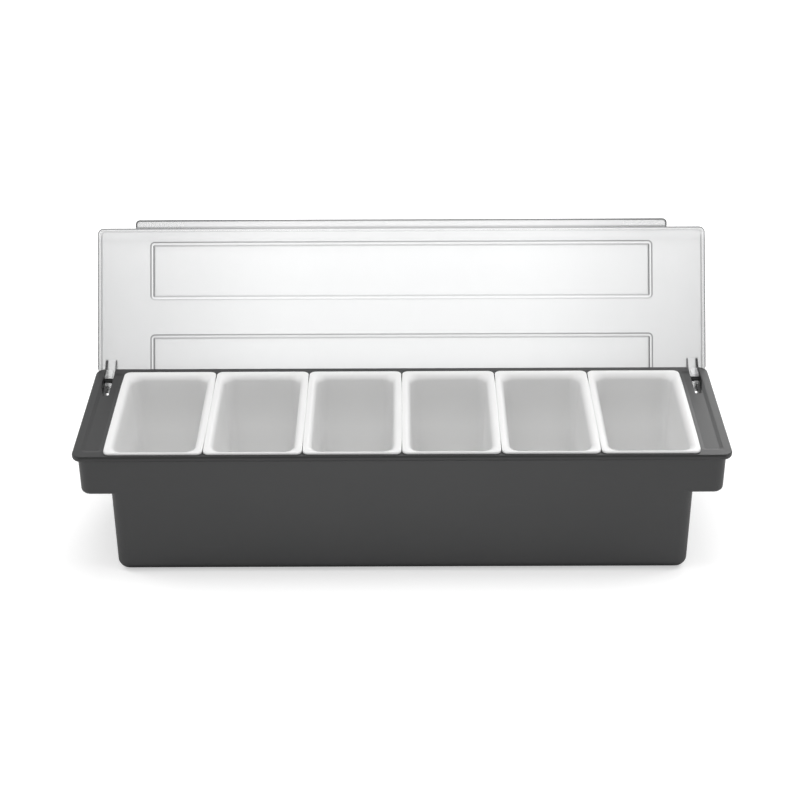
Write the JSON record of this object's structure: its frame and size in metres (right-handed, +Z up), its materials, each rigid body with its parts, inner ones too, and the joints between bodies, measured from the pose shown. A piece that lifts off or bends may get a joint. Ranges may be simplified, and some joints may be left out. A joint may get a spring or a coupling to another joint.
{
  "type": "condiment caddy",
  "caption": "Long stepped tub with end wings, a top frame, deep lift-out inserts side by side and one full-length clear lid hinged at the back.",
  "frame": {"origin": "on the tub's underside, below the middle of the top frame", "axes": "+X along the caddy's length, to the right as seen from the front; +Y to the back, where the lid is hinged; +Z up"},
  "size_m": [0.5, 0.2028, 0.2131],
  "materials": {
    "tub_plastic": "fine matt charcoal",
    "frame_plastic": "satin charcoal",
    "insert_white": "satin white",
    "lid_clear": "clear with a light frost",
    "pin_plastic": "satin dark grey"
  },
  "bodies": {
    "base": {"base_tub": "tub_plastic", "top_frame": "frame_plastic", "hinge_pin_left": "pin_plastic", "hinge_pin_right": "pin_plastic"},
    "lid": {"lid": "lid_clear"},
    "insert_1": {"insert_1": "insert_white"},
    "insert_2": {"insert_2": "insert_white"},
    "insert_3": {"insert_3": "insert_white"},
    "insert_4": {"insert_4": "insert_white"},
    "insert_5": {"insert_5": "insert_white"},
    "insert_6": {"insert_6": "insert_white"}
  },
  "joints": [
    {"name": "lid_hinge", "type": "hinge", "parent": "base", "child": "lid", "pos_m": [0, 0.058, 0.1026], "axis": [-1, 0, 0], "range_deg": [-121, 0]},
    {"name": "insert_1_lift", "type": "slide", "parent": "base", "child": "insert_1", "axis": [0, 0, 1], "range_m": [0, 0.1]},
    {"name": "insert_2_lift", "type": "slide", "parent": "base", "child": "insert_2", "axis": [0, 0, 1], "range_m": [0, 0.1]},
    {"name": "insert_3_lift", "type": "slide", "parent": "base", "child": "insert_3", "axis": [0, 0, 1], "range_m": [0, 0.1]},
    {"name": "insert_4_lift", "type": "slide", "parent": "base", "child": "insert_4", "axis": [0, 0, 1], "range_m": [0, 0.1]},
    {"name": "insert_5_lift", "type": "slide", "parent": "base", "child": "insert_5", "axis": [0, 0, 1], "range_m": [0, 0.1]},
    {"name": "insert_6_lift", "type": "slide", "parent": "base", "child": "insert_6", "axis": [0, 0, 1], "range_m": [0, 0.1]}
  ]
}
